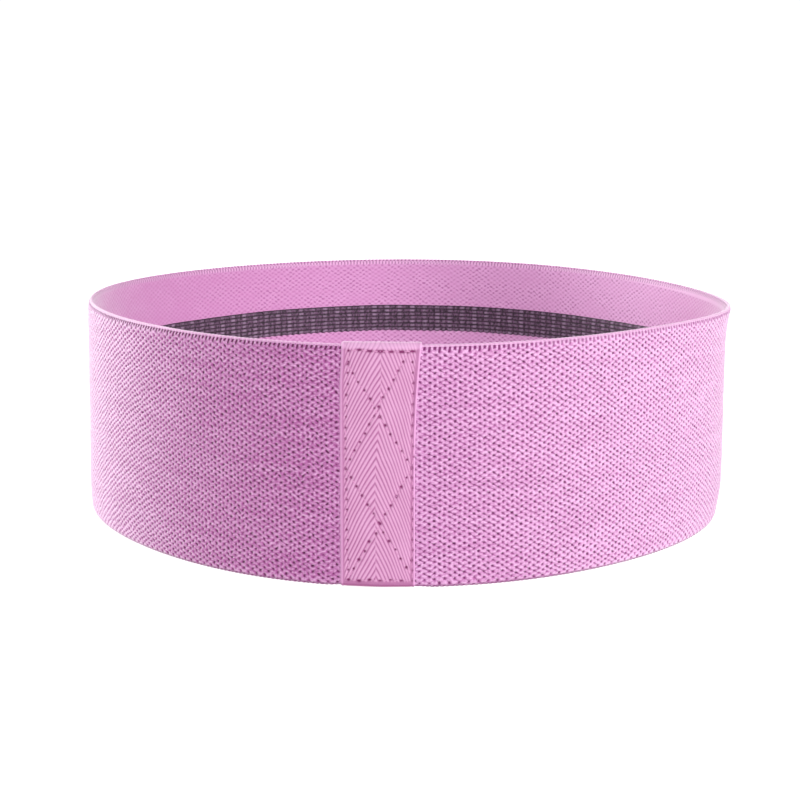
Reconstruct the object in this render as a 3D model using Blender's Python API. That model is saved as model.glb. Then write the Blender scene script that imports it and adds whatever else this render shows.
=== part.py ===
"""Woven elastic resistance band: a closed loop of double-woven webbing with a taped, box-stitched seam.

The loop stands on its edge. +Z is up, the seam faces -Y, and the origin is under the middle of the loop.
Every layer of the webbing is a strip that follows one plan curve at its own depth below the outer face.
"""

import math

import bmesh
import bpy

# ---- driving dimensions, in metres ----
LOOP_RADIUS = 0.1212          # mean radius of the outer face, for a loop about 0.76 m round
OVAL = 0.0031                 # how far the plan is drawn out into an oval
OVAL_AXIS = math.radians(109.8)
CORNERS = 0.0021              # how far the plan is fuller at four places round the loop
CORNERS_AXIS = math.radians(-3.2)
SEAM = math.radians(-90.0)    # direction of the seam, seen from the middle of the loop

WEB_WIDTH = 0.080             # height of the webbing as it stands on edge
PLY = 0.0005                  # one cloth ply
CORE = 0.0006                 # rubber core, measured through the webbing at a thread
CLEAR = 0.0003                # gap kept between neighbouring pieces
SELVEDGE = 0.0012             # height of the closed edge of the webbing
THREAD_COUNT = 10             # flat-cut rubber threads across the core
THREAD_HEIGHT = 0.0040
TIE_DEPTH = 0.0003            # the thin filling that ties neighbouring threads together

GRIP = 0.0004                 # thickness of a rubber grip strip
GRIP_WIDTH = 0.0114
GRIP_FROM_EDGE = 0.0202       # from the webbing's edge to the near edge of a grip strip

TAPE = 0.0005                 # thickness of the herringbone seam tape
TAPE_WIDTH = 0.0248
LAP_HALF = 0.0098             # each end of the webbing runs this far past the middle of the seam
LAP_RAMP = 0.0100             # length over which the inner end steps in behind the outer end

BOX_LEFT = 0.0100             # stitched box, measured from the middle of the tape
BOX_RIGHT = 0.0113
BOX_BOTTOM = 0.0028
BOX_TOP = 0.0788
BOX_MIDDLE = 0.0402
CROSS_MARGIN = 0.0012         # from the box to the ends of the two stitched crosses
STITCH_PITCH = 0.0033
CREST_WIDTH = 0.0005          # sewing thread in the middle of a stitch
CREST_HEIGHT = 0.0004
HOLE_WIDTH = 0.0003           # and where it dips at a needle hole
HOLE_HEIGHT = 0.0002

SIDE_HALF = math.radians(60.0)  # the seam side and the far side each reach this far from their middle
COARSE_STEP = math.radians(7.5)
FINE_STEP = math.radians(3.75)
FINE_REACH = math.radians(12.0)

# ---- worked out from them ----
WEB = 2 * PLY + CORE + 2 * CLEAR
EDGE_WRAP = TAPE + CLEAR      # the tape passes under and over the webbing's edges
WEB_BOTTOM = EDGE_WRAP
WEB_TOP = WEB_BOTTOM + WEB_WIDTH
CLOTH_BOTTOM = WEB_BOTTOM + SELVEDGE + CLEAR
CLOTH_TOP = WEB_TOP - SELVEDGE - CLEAR
LAP_STEP = WEB + CLEAR
FAR = SEAM + math.pi

PINK = (0.64, 0.24, 0.50)
TAPE_PINK = (0.66, 0.28, 0.50)
DARK_GRIP = (0.10, 0.06, 0.10)
LATEX = (0.78, 0.72, 0.60)
THREAD_PINK = (0.62, 0.26, 0.48)


# ---- the plan curve ----
def plan_radius(angle):
    """Radius of the outer face in a direction from the middle."""
    oval = OVAL * math.cos(2 * (angle - OVAL_AXIS))
    corners = CORNERS * math.cos(4 * (angle - CORNERS_AXIS))
    return LOOP_RADIUS + oval + corners


SEAM_RADIUS = plan_radius(SEAM)
CROSS_OVER = CREST_HEIGHT + CLEAR  # one zigzag climbs this far to pass over the other
STITCH_PROUD = TAPE + 2 * CLEAR + CROSS_OVER + HOLE_HEIGHT


def plan_centre():
    """Middle of the box round the outer face and the stitches, which the origin stands under."""
    steps = 720
    angles = [math.tau * i / steps for i in range(steps)]
    xs = [plan_radius(a) * math.cos(a) for a in angles]
    ys = [plan_radius(a) * math.sin(a) for a in angles]
    front = -SEAM_RADIUS - STITCH_PROUD
    return (min(xs) + max(xs)) / 2, (front + max(ys)) / 2


CENTRE_X, CENTRE_Y = plan_centre()


def on_wall(angle, inset, height):
    """A point of the wall: a direction from the middle, a depth below the outer face, and a height."""
    radius = plan_radius(angle) - inset
    return (radius * math.cos(angle) - CENTRE_X, radius * math.sin(angle) - CENTRE_Y, height)


def seam_angle(across):
    """Direction of a point that lies this far along the wall from the middle of the seam."""
    return SEAM + across / SEAM_RADIUS


def station_angles(start, end):
    """Angles from start to end on one grid for all layers, closer together near the seam."""
    inner = []
    count = round(math.pi / FINE_STEP)
    for i in range(-count, 2 * count):
        angle = SEAM + i * FINE_STEP
        near_seam = abs(angle - SEAM) < FINE_REACH
        on_coarse = i % round(COARSE_STEP / FINE_STEP) == 0
        inside = start + FINE_STEP / 4 < angle < end - FINE_STEP / 4
        if inside and (near_seam or on_coarse):
            inner.append(angle)
    return [start] + inner + [end]


def no_step(angle):
    return 0.0


def lap_step(angle):
    """How far the inner end of the webbing steps in behind the outer end, near the seam."""
    past = ((angle - SEAM) * SEAM_RADIUS - LAP_HALF) / LAP_RAMP
    share = min(max(1.0 - past, 0.0), 1.0)
    return LAP_STEP * share * share * (3 - 2 * share)


# ---- building blocks ----
def add_profile(mesh, start, end, profile, step=no_step):
    """A closed bar that follows the wall from start to end, with a profile of (inset, height) corners."""
    rings = []
    for angle in station_angles(start, end):
        shift = step(angle)
        rings.append([mesh.verts.new(on_wall(angle, inset + shift, z)) for inset, z in profile])
    join_rings(mesh, rings)
    mesh.faces.new(rings[0])
    mesh.faces.new(list(reversed(rings[-1])))


def rectangle(insets, heights):
    near, far = insets
    low, high = heights
    return ((near, low), (near, high), (far, high), (far, low))


def join_rings(mesh, rings):
    """Quads between neighbouring rings of the same number of corners."""
    for first, second in zip(rings, rings[1:]):
        for i, corner in enumerate(first):
            beside = (i + 1) % len(first)
            mesh.faces.new((corner, second[i], second[beside], first[beside]))


def finish_piece(name, mesh, material, holder):
    """Turns the mesh into a named object of one material, held by an empty at its body's reference point."""
    bmesh.ops.recalc_face_normals(mesh, faces=mesh.faces[:])
    bmesh.ops.translate(mesh, verts=mesh.verts[:], vec=[-c for c in holder.location])
    data = bpy.data.meshes.new(name)
    mesh.to_mesh(data)
    mesh.free()
    data.materials.append(material)
    data.shade_smooth()
    data.set_sharp_from_angle(angle=math.radians(30))
    piece = bpy.data.objects.new(name, data)
    piece.parent = holder
    bpy.context.scene.collection.objects.link(piece)
    return piece


def make_material(name, colour, roughness):
    material = bpy.data.materials.new(name)
    material.use_nodes = True
    shader = material.node_tree.nodes["Principled BSDF"]
    shader.inputs["Base Color"].default_value = (*colour, 1.0)
    shader.inputs["Roughness"].default_value = roughness
    shader.inputs["Metallic"].default_value = 0.0
    return material


def make_holder(name, location):
    """An empty at a body's reference point."""
    holder = bpy.data.objects.new(name, None)
    holder.location = location
    bpy.context.scene.collection.objects.link(holder)
    return holder


# ---- the layers of the webbing ----
def cloth_ply(name, zone, first_inset, holder, material):
    mesh = bmesh.new()
    profile = rectangle((first_inset, first_inset + PLY), (CLOTH_BOTTOM, CLOTH_TOP))
    add_profile(mesh, zone["start"], zone["end"], profile, zone["step"])
    finish_piece(name, mesh, material, holder)


def core_profile():
    """Section of the rubber core: threads side by side, tied by a thinner filling along their outer side."""
    pitch = (CLOTH_TOP - CLOTH_BOTTOM - THREAD_HEIGHT) / (THREAD_COUNT - 1)
    outer = PLY + CLEAR
    profile = [(outer, CLOTH_TOP), (outer, CLOTH_BOTTOM)]
    for i in range(THREAD_COUNT):
        low = CLOTH_BOTTOM + i * pitch
        high = low + THREAD_HEIGHT
        profile += [(outer + CORE, low), (outer + CORE, high)]
        if i < THREAD_COUNT - 1:
            profile += [(outer + TIE_DEPTH, high), (outer + TIE_DEPTH, low + pitch)]
    return profile


def rubber_core(name, zone, holder, material):
    mesh = bmesh.new()
    add_profile(mesh, zone["start"], zone["end"], core_profile(), zone["step"])
    finish_piece(name, mesh, material, holder)


def selvedge(name, zone, bottom, holder, material):
    mesh = bmesh.new()
    profile = rectangle((0.0, WEB), (bottom, bottom + SELVEDGE))
    add_profile(mesh, zone["start"], zone["end"], profile, zone["step"])
    finish_piece(name, mesh, material, holder)


def grip_strip(name, zone, bottom, holder, material):
    mesh = bmesh.new()
    profile = rectangle((WEB + CLEAR, WEB + CLEAR + GRIP), (bottom, bottom + GRIP_WIDTH))
    add_profile(mesh, zone["start"], zone["grip_end"], profile, zone["step"])
    finish_piece(name, mesh, material, holder)


def webbing_zone(zone, holder, materials):
    """All the layers of one stretch of the webbing."""
    name = zone["name"]
    cloth_ply(name + "_outer_cloth", zone, 0.0, holder, materials["cloth"])
    cloth_ply(name + "_inner_cloth", zone, WEB - PLY, holder, materials["cloth"])
    rubber_core(name + "_rubber_core", zone, holder, materials["latex"])
    selvedge(name + "_bottom_selvedge", zone, WEB_BOTTOM, holder, materials["cloth"])
    selvedge(name + "_top_selvedge", zone, WEB_TOP - SELVEDGE, holder, materials["cloth"])
    lower = WEB_BOTTOM + GRIP_FROM_EDGE
    upper = WEB_TOP - GRIP_FROM_EDGE - GRIP_WIDTH
    grip_strip(name + "_lower_grip_strip", zone, lower, holder, materials["grip"])
    grip_strip(name + "_upper_grip_strip", zone, upper, holder, materials["grip"])


def webbing_zones():
    """The five stretches of the loop, from the lapped end left of the seam round to the other end."""
    between = CLEAR / LOOP_RADIUS / 2
    lap = LAP_HALF / SEAM_RADIUS
    seam_end = SEAM + SIDE_HALF
    far_start = FAR - SIDE_HALF
    far_end = FAR + SIDE_HALF
    round_again = SEAM + math.tau
    seam_start = round_again - SIDE_HALF
    clear_of_lap = SEAM - lap - 2 * between
    zones = [
        ("seam_right", SEAM - lap, seam_end - between, lap_step),
        ("right_span", seam_end + between, far_start - between, no_step),
        ("far_side", far_start + between, far_end - between, no_step),
        ("left_span", far_end + between, seam_start - between, no_step),
        ("seam_left", SEAM - SIDE_HALF + between, SEAM + lap, no_step),
    ]
    made = []
    for name, start, end, step in zones:
        grip_end = clear_of_lap if name == "seam_left" else end
        made.append({"name": name, "start": start, "end": end, "grip_end": grip_end, "step": step})
    return made


# ---- the seam ----
def seam_tape(holder, material):
    """The tape as a sleeve: a panel on each face, folded over the top and bottom edges of both lapped ends."""
    mesh = bmesh.new()
    half = TAPE_WIDTH / 2
    outer_inset = -EDGE_WRAP
    inner_inset = LAP_STEP + WEB + CLEAR + GRIP + EDGE_WRAP
    outside = rectangle((outer_inset, inner_inset), (0.0, WEB_TOP + EDGE_WRAP))
    inside = rectangle((outer_inset + TAPE, inner_inset - TAPE), (TAPE, WEB_TOP + CLEAR))
    outer_rings = []
    inner_rings = []
    for angle in station_angles(seam_angle(-half), seam_angle(half)):
        outer_rings.append([mesh.verts.new(on_wall(angle, inset, z)) for inset, z in outside])
        inner_rings.append([mesh.verts.new(on_wall(angle, inset, z)) for inset, z in inside])
    join_rings(mesh, outer_rings)
    join_rings(mesh, inner_rings)
    for outer, inner in ((outer_rings[0], inner_rings[0]), (outer_rings[-1], inner_rings[-1])):
        join_rings(mesh, [outer, inner])
    finish_piece("seam_tape", mesh, material, holder)


def box_corners():
    """The stitched box, as (across, height) corners."""
    return [(-BOX_LEFT, BOX_BOTTOM), (BOX_RIGHT, BOX_BOTTOM), (BOX_RIGHT, BOX_TOP), (-BOX_LEFT, BOX_TOP)]


def zigzag_corners(first_side, second_side):
    """One line of stitching that runs up the seam, across and back; two of them make the stacked crosses."""
    below = BOX_BOTTOM + CROSS_MARGIN
    above = BOX_TOP - CROSS_MARGIN
    return [(first_side, below), (second_side, BOX_MIDDLE), (first_side, above)]


def direction(start, end):
    length = math.hypot(end[0] - start[0], end[1] - start[1])
    return (end[0] - start[0]) / length, (end[1] - start[1]) / length


def thread_points(corners, closed):
    """Points at needle holes and crests in turn: (across, height, sideways, is_crest, distance to mid-run)."""
    runs = list(zip(corners, corners[1:]))
    if closed:
        runs.append((corners[-1], corners[0]))
    points = []
    for index, (start, end) in enumerate(runs):
        along = direction(start, end)
        before = direction(*runs[index - 1]) if index > 0 or closed else along
        length = math.hypot(end[0] - start[0], end[1] - start[1])
        halves = 4 * round(length / STITCH_PITCH / 2)
        for i in range(halves):
            share = i / halves
            mixed = (along[0] + before[0], along[1] + before[1]) if i == 0 else along
            points.append(thread_point(start, end, share, mixed, along, i % 2 == 1))
    if not closed:
        points.append(thread_point(start, end, 1.0, along, along, False))
    return points


def thread_point(start, end, share, mitre, along, is_crest):
    """One point of a stitched line, with the sideways direction of its mitre."""
    size = math.hypot(*mitre)
    mitre = (mitre[0] / size, mitre[1] / size)
    stretch = 1.0 / (mitre[0] * along[0] + mitre[1] * along[1])
    across = start[0] + (end[0] - start[0]) * share
    height = start[1] + (end[1] - start[1]) * share
    length = math.hypot(end[0] - start[0], end[1] - start[1])
    return across, height, (-mitre[1] * stretch, mitre[0] * stretch), is_crest, abs(share - 0.5) * length


def stitched_thread(name, corners, closed, base, outward, climbs, holder, material):
    """One continuous line of lockstitch lying on the tape; outward is the sign of inset towards the air."""
    mesh = bmesh.new()
    rings = []
    for across, height, sideways, is_crest, from_middle in thread_points(corners, closed):
        half = (CREST_WIDTH if is_crest else HOLE_WIDTH) / 2
        thick = CREST_HEIGHT if is_crest else HOLE_HEIGHT
        climb = CROSS_OVER * max(0.0, 1.0 - from_middle / STITCH_PITCH) if climbs else 0.0
        foot = base + outward * climb
        left = on_wall(seam_angle(across + sideways[0] * half), foot, height + sideways[1] * half)
        right = on_wall(seam_angle(across - sideways[0] * half), foot, height - sideways[1] * half)
        crest = on_wall(seam_angle(across), foot + outward * thick, height)
        rings.append([mesh.verts.new(p) for p in (left, right, crest)])
    if closed:
        rings.append(rings[0])
    else:
        mesh.faces.new(rings[0])
        mesh.faces.new(list(reversed(rings[-1])))
    join_rings(mesh, rings)
    finish_piece(name, mesh, material, holder)


def all_seam_threads(holder, material):
    """Needle thread on the outer panel of the tape and bobbin thread on the inner panel."""
    left = -BOX_LEFT + CROSS_MARGIN
    right = BOX_RIGHT - CROSS_MARGIN
    outer_base = -EDGE_WRAP - CLEAR
    inner_base = LAP_STEP + WEB + CLEAR + GRIP + EDGE_WRAP + CLEAR
    for side, base, outward in (("needle", outer_base, -1), ("bobbin", inner_base, 1)):
        lines = (
            ("box", box_corners(), True, False),
            ("first_zigzag", zigzag_corners(left, right), False, False),
            ("second_zigzag", zigzag_corners(right, left), False, True),
        )
        for line, corners, closed, climbs in lines:
            name = "seam_" + line + "_" + side + "_thread"
            stitched_thread(name, corners, closed, base, outward, climbs, holder, material)


def main():
    for old in list(bpy.data.objects):
        bpy.data.objects.remove(old)
    materials = {
        "cloth": make_material("pink_cloth", PINK, 0.9),
        "grip": make_material("dark_grip_rubber", DARK_GRIP, 0.7),
        "latex": make_material("natural_latex", LATEX, 0.6),
        "tape": make_material("herringbone_tape", TAPE_PINK, 0.85),
        "thread": make_material("sewing_thread", THREAD_PINK, 0.7),
    }
    seam_holder = make_holder("seam_side_reference", (0.0, 0.0, 0.0))
    far_point = on_wall(FAR, 0.0, WEB_BOTTOM + WEB_WIDTH / 2)
    far_holder = make_holder("far_side_on_stretch_axis", far_point)
    for zone in webbing_zones():
        holder = far_holder if zone["name"] == "far_side" else seam_holder
        webbing_zone(zone, holder, materials)
    seam_tape(seam_holder, materials["tape"])
    all_seam_threads(seam_holder, materials["thread"])
    bpy.context.view_layer.update()


main()
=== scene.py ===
"""The looks of a woven elastic resistance band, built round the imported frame.

The webbing is one strip: it starts at its inner end under the seam tape, runs right round the loop and ends
on top of its own start. A place on it is (u, inset, z): metres along the outer face from the middle of the
seam, depth below the outer face, and height above the floor.
"""

import math

import bpy
import numpy as np
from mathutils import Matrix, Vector


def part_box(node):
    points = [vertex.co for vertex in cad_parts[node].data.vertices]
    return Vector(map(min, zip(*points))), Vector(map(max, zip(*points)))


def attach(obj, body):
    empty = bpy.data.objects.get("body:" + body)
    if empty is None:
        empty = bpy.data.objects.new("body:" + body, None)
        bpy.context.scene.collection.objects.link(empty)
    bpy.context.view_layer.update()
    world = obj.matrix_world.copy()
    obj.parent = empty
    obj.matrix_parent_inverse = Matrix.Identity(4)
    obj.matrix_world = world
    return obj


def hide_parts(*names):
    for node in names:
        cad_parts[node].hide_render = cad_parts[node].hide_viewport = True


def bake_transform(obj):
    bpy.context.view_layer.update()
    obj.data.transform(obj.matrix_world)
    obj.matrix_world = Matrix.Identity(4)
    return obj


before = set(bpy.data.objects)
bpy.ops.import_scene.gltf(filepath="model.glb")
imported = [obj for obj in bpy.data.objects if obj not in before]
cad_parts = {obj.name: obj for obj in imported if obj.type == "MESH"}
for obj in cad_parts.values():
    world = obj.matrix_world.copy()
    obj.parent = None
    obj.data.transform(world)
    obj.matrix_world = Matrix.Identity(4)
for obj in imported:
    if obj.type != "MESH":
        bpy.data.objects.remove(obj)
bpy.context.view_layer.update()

TAU = math.tau

# ---- the loop's plan and the webbing's section, in metres, as the solids have them ----
LOOP_RADIUS = 0.1212
OVAL = 0.0031
OVAL_AXIS = math.radians(109.8)
CORNERS = 0.0021
CORNERS_AXIS = math.radians(-3.2)
SEAM = math.radians(-90.0)
CENTRE_Y = -0.000994
WEB = 0.0022
PLY = 0.0005
CORE_INSET = 0.0008
CORE = 0.0006
WEB_BOTTOM = 0.0008
WEB_TOP = 0.0808
ROLL = 0.0006                 # height of the rolled edge above the cloth
ROUNDING = 0.00045            # how far both faces turn in towards the rolled edge
CLOTH_BOTTOM = WEB_BOTTOM + ROLL
CLOTH_TOP = WEB_TOP - ROLL
LAP_HALF = 0.0098
LAP_RAMP = 0.0020
LAP_STEP = 0.0025
SQUEEZE = 0.30                # how much the stitching presses the lapped ends together
SQUEEZE_FROM = 0.0125
SQUEEZE_TO = 0.0185

# ---- the outward curl of the top edge at the loop's +X end ----
CURL_AT = math.radians(3.0)
CURL_SPREAD = math.radians(26.0)
CURL_REACH = 0.0150
CURL_OUT = 0.0022
CURL_DOWN = 0.0016

# ---- how this loop strays from the even plan ----
THREE_SIDED = 0.00011
FIVE_SIDED = 0.00027
ENDS = (CURL_AT, math.radians(180.0))
END_BULGE = (0.00075, -0.0007)
END_LEAN = (0.0052, -0.012)   # outwards for each metre of height
END_SPREAD = math.radians(32.0)
FOOT_HEIGHT = 0.016           # the bottom edge tucks in below this, round FOOT_AT
FOOT_SPREAD = math.radians(26.0)
FOOT_AT = (math.radians(-10.0), math.radians(-148.0))
FOOT_TUCK = (0.0016, 0.0009)
FOOT_DROP = 0.0005            # the bottom edge hangs this much lower where no tape holds it up

# ---- the weave ----
COLUMN = 0.00165              # between neighbouring columns of the outer face
ROW = 0.001967
LEAN_START = 1.25             # how much stronger one twill direction is, just right of the tape
LEAN_END = 1.00               # and over the rest of the loop
LEAN_SPAN = (0.160, 0.050)    # the lean changes between these places along the strip
PIT_DEPTH = 0.00042
PROUD = 0.00012               # the tops of the floats stand this far outside the face
LUMP_HEIGHT = 0.00019
PIT_FROM = 0.22
PIT_TO = 0.90
PIT_ROUND = 0.35              # how much each pit is drawn in sideways, to make it round
TICK_LONG = 0.0019            # the slots under the rolled edge are long and short in turn
TICK_SHORT = 0.0012
TICK_LEAN = 0.22
SLOT_DEPTH = 0.00028
SLOT_CHANGE = 0.4             # the slots' painted shade is weaker right of the tape and stronger left of it
SLOT_WEAKER = (0.030, 0.070)  # from the middle of the seam
SLOT_STRONGER = (0.30, 0.22)  # before coming round to the seam again
TUCKED = 0.0002               # each face of the cloth runs this far in behind the rolled edges
INNER_COLUMN = 0.00143
INNER_ROW = 0.00192
INNER_RELIEF = 0.00007

# ---- grip strips ----
GRIP_ROWS = 7
GRIP_INSET = 0.0021
GRIP_CORD = 0.00030
GRIP_DASH_PITCH = 0.00573
GRIP_DASH_HALF = 0.0009
GRIP_SCALLOP_PITCH = 0.0029
GRIP_SAG = 0.0010             # the strip runs this much lower on the -X side
GRIP_SAG_AT = math.radians(152.0)
GRIP_SAG_SPREAD = math.radians(28.0)

# ---- seam tape ----
TAPE_THICK = 0.00042
UNDER_TAPE = 0.0004           # the cloth is pressed in this much under the tape
TAPE_LEFT = -0.01275
TAPE_RIGHT = 0.0118
TAPE_FLARE = 0.0020           # the right edge stands out this much more at the top
TAPE_BOTTOM = 0.0003
TAPE_TOP = 0.0816
TWILL_PITCH = (0.00176, 0.00147)   # left and right of the herringbone's middle
TWILL_SLOPE = (0.66, 0.52)    # sideways run of a twill ridge for each unit of height, at the middle
TWILL_CROWD = 28.0            # the ridges steepen and crowd towards the tape's edges, for each metre across
TWILL_DEPTH = 0.00014
TAPE_BORDER = 0.0010          # the plain band at the left edge
TAPE_RIM = 0.0006             # and at the right edge
TAPE_PLAIN = 0.16             # how pale the plain parts inside the borders are, between groove and ridge
TAPE_PROUD = 0.00045          # the tape's outer face stands this far outside the webbing's
HEM_DEPTH = 0.00006           # a shallow dip beside each border
LINE_DEPTH = 0.00016          # the stitching presses this deep a groove along its lines
HOLE_DEPTH = 0.00035
EDGE_DROP = 0.00036           # the tape's edges round down this far

# ---- stitching, as (across, height) on the tape ----
BOX = [(-0.0101, 0.0029), (0.0108, 0.0029), (0.0109, 0.0788), (-0.0097, 0.0788), (-0.0109, 0.0500)]
FIRST_ZIGZAG = [(-0.0100, 0.0744), (0.0107, 0.0405), (-0.0098, 0.0035)]
SECOND_ZIGZAG = [(0.0094, 0.0784), (-0.0109, 0.0402), (0.0106, 0.0044)]
STITCH = 0.0034
EDGE_ROWS = (0.0032, 0.0785)   # stitches beyond these heights pull the tape into wide slots, with painted shade in them
EDGE_ROWS_DRAWN = (1.6, 2.5)
THREAD = 0.00034
THREAD_SINK = 0.00045         # a stitch's ends lie this far below the tape's face
THREAD_ARCH = 0.00034         # and its middle this much above them
HOLE_OPEN = (0.62, 1.08)      # smallest and largest share of a needle hole's full width
SIDE_HOLES = 0.80             # the holes up the sides of the box are smaller still

# ---- camera ----
CAMERA_AZIMUTH = math.radians(-86.62)
CAMERA_DISTANCE = 0.7614
CAMERA_RISE = 0.0979          # above the webbing's top edge
CAMERA_TILT = math.radians(10.32)
CAMERA_LENS = 90.36
CAMERA_SHIFT = -0.00036       # sideways from the line through the loop's middle
CAMERA_TURN = math.radians(0.014)

# ---- studio ----
WORLD_BACK = 1.0
WORLD_FRONT = 1.35
FLOOR_GLOW = 0.95
FLOOR_WHITE = 0.40
FLOOR_RADIUS = 6.0
BACKDROP_HEIGHT = 6.0
STUDIO_SIDES = 96


# ---- plain maths ----
def smooth(value, low, high):
    """0 below low, 1 above high, and an even turn between; low may be above high."""
    share = np.clip((value - low) / (high - low), 0.0, 1.0)
    return share * share * (3 - 2 * share)


def bell(value, width):
    return np.exp(-((value / width) ** 2))


def noise(x, y, seed):
    """Smooth noise from -1 to 1 over whole-number cells, from seeded random values."""
    size = 1024
    table = np.random.default_rng(seed).uniform(-1.0, 1.0, (size, size))
    x0 = np.floor(x).astype(int)
    y0 = np.floor(y).astype(int)
    across = smooth(x - x0, 0.0, 1.0)
    up = smooth(y - y0, 0.0, 1.0)

    def corner(i, j):
        return table[(x0 + i) % size, (y0 + j) % size]

    low = corner(0, 0) * (1 - across) + corner(1, 0) * across
    high = corner(0, 1) * (1 - across) + corner(1, 1) * across
    return low * (1 - up) + high * up


# ---- the plan curve and the strip along it ----
def plan_radius(angle):
    oval = OVAL * np.cos(2 * (angle - OVAL_AXIS))
    corners = CORNERS * np.cos(4 * (angle - CORNERS_AXIS))
    return LOOP_RADIUS + oval + corners


def measure_plan():
    """Angles and the distance along the outer face at each, with 0 at the middle of the seam."""
    angles = np.linspace(SEAM - 0.3, SEAM + TAU + 0.3, 40001)
    radius = plan_radius(angles)
    x, y = radius * np.cos(angles), radius * np.sin(angles)
    along = np.concatenate([[0.0], np.cumsum(np.hypot(np.diff(x), np.diff(y)))])
    return angles, along - np.interp(SEAM, angles, along)


PLAN_ANGLES, PLAN_ALONG = measure_plan()


def u_at(angle):
    return float(np.interp(angle, PLAN_ANGLES, PLAN_ALONG))


LOOP_LENGTH = u_at(SEAM + TAU)
STRIP_START = -LAP_HALF
STRIP_END = LOOP_LENGTH + LAP_HALF


def from_seam(u):
    """Distance from the middle of the seam, whichever end of the strip u is on."""
    return np.minimum(np.abs(u), np.abs(u - LOOP_LENGTH))


def turn_from(angle, middle):
    """Angle from a direction, from minus half a turn to half a turn."""
    return (angle - middle + math.pi) % TAU - math.pi


def curl(angle, z):
    """How strongly the top edge curls outwards here, from 0 to 1."""
    rise = np.clip((z - (WEB_TOP - CURL_REACH)) / CURL_REACH, 0.0, 1.2)
    return bell(turn_from(angle, CURL_AT), CURL_SPREAD) * rise * rise


def stray(angle, z):
    """How far the wall stands outside the even plan here."""
    waves = THREE_SIDED * np.cos(3 * angle) + FIVE_SIDED * np.cos(5 * angle)
    out = 0.0
    for middle, bulge, lean in zip(ENDS, END_BULGE, END_LEAN):
        out = out + (bulge + lean * (z - WEB_TOP / 2)) * bell(turn_from(angle, middle), END_SPREAD)
    foot = smooth(z, FOOT_HEIGHT, 0.0) ** 1.5
    tuck = 0.0
    for middle, most in zip(FOOT_AT, FOOT_TUCK):
        tuck = tuck + most * bell(turn_from(angle, middle), FOOT_SPREAD)
    return waves + out - tuck * foot


def wall(u, inset, z):
    """Points of the webbing, an array with x, y and z in its last axis."""
    u, inset, z = np.broadcast_arrays(u, inset, z)
    angle = np.interp(u, PLAN_ALONG, PLAN_ANGLES)
    lap = LAP_STEP * smooth(u, LAP_HALF + LAP_RAMP, LAP_HALF)
    free = smooth(from_seam(u), SQUEEZE_FROM, SQUEEZE_TO)
    pressed = 1.0 - SQUEEZE * (1 - free)
    curled = curl(angle, z)
    radius = plan_radius(angle) + stray(angle, z) - (inset + lap) * pressed + CURL_OUT * curled
    drop = FOOT_DROP * free * smooth(z, 0.2 * FOOT_HEIGHT, 0.0)
    x = radius * np.cos(angle)
    y = radius * np.sin(angle) - CENTRE_Y
    return np.stack([x, y, z - CURL_DOWN * curled - drop], axis=-1)


def stations(step):
    """Places along the whole strip, evenly spaced."""
    return np.linspace(STRIP_START, STRIP_END, round((STRIP_END - STRIP_START) / step) + 1)


# ---- meshes ----
def surface_normals(points, round_stations):
    """Smooth normals of a grid of points whose second axis is a closed loop."""
    if round_stations:
        along = np.roll(points, -1, 0) - np.roll(points, 1, 0)
    else:
        along = np.gradient(points, axis=0)
    around = np.roll(points, -1, 1) - np.roll(points, 1, 1)
    normals = np.cross(along, around)
    return normals / np.maximum(np.linalg.norm(normals, axis=2, keepdims=True), 1e-12)


def quads(stations_count, loop_count, round_stations):
    """Corner indices of the quads between neighbouring loops."""
    rows = stations_count if round_stations else stations_count - 1
    i = np.arange(rows)[:, None]
    j = np.arange(loop_count)[None, :]
    after = (i + 1) % stations_count
    beside = (j + 1) % loop_count
    here, there = i * loop_count, after * loop_count
    corners = [here + j, there + j, there + beside, here + beside]
    return np.stack(np.broadcast_arrays(*corners), axis=-1).reshape(-1, 4)


def mesh_object(name, points, faces, caps, uv, normals, material):
    """A smooth mesh object. uv is one pair for each point, in metres of cloth."""
    mesh = bpy.data.meshes.new(name)
    mesh.vertices.add(len(points))
    mesh.vertices.foreach_set("co", points.astype(np.float32).ravel())
    corners = np.concatenate([faces.ravel()] + [np.asarray(c) for c in caps])
    counts = np.concatenate([np.full(len(faces), 4), [len(c) for c in caps]]).astype(int)
    mesh.loops.add(len(corners))
    mesh.loops.foreach_set("vertex_index", corners.astype(np.int32))
    mesh.polygons.add(len(counts))
    mesh.polygons.foreach_set("loop_start", np.concatenate([[0], np.cumsum(counts)[:-1]]).astype(np.int32))
    mesh.update(calc_edges=True)
    layer = mesh.uv_layers.new(name="cloth")
    layer.data.foreach_set("uv", uv[corners].astype(np.float32).ravel())
    mesh.shade_smooth()
    if normals is not None:
        mesh.normals_split_custom_set_from_vertices(normals)
    mesh.materials.append(material)
    piece = bpy.data.objects.new(name, mesh)
    bpy.context.scene.collection.objects.link(piece)
    return piece


def swept_piece(name, points, uv, normals, material, round_stations=False):
    """A closed piece from loops of points at a row of stations, with flat ends unless the row is a ring."""
    count, loop = points.shape[:2]
    last = (count - 1) * loop
    caps = []
    if not round_stations:
        caps = [np.arange(loop), last + np.arange(loop)[::-1]]
    faces = quads(count, loop, round_stations)
    flat = points.reshape(-1, 3)
    return mesh_object(name, flat, faces, caps, uv.reshape(-1, 2), normals.reshape(-1, 3), material)


def add_value(piece, name, values):
    """A number for each point of the piece, which its material reads by name."""
    attribute = piece.data.attributes.new(name, "FLOAT", "POINT")
    attribute.data.foreach_set("value", values.astype(np.float32).ravel())


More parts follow.
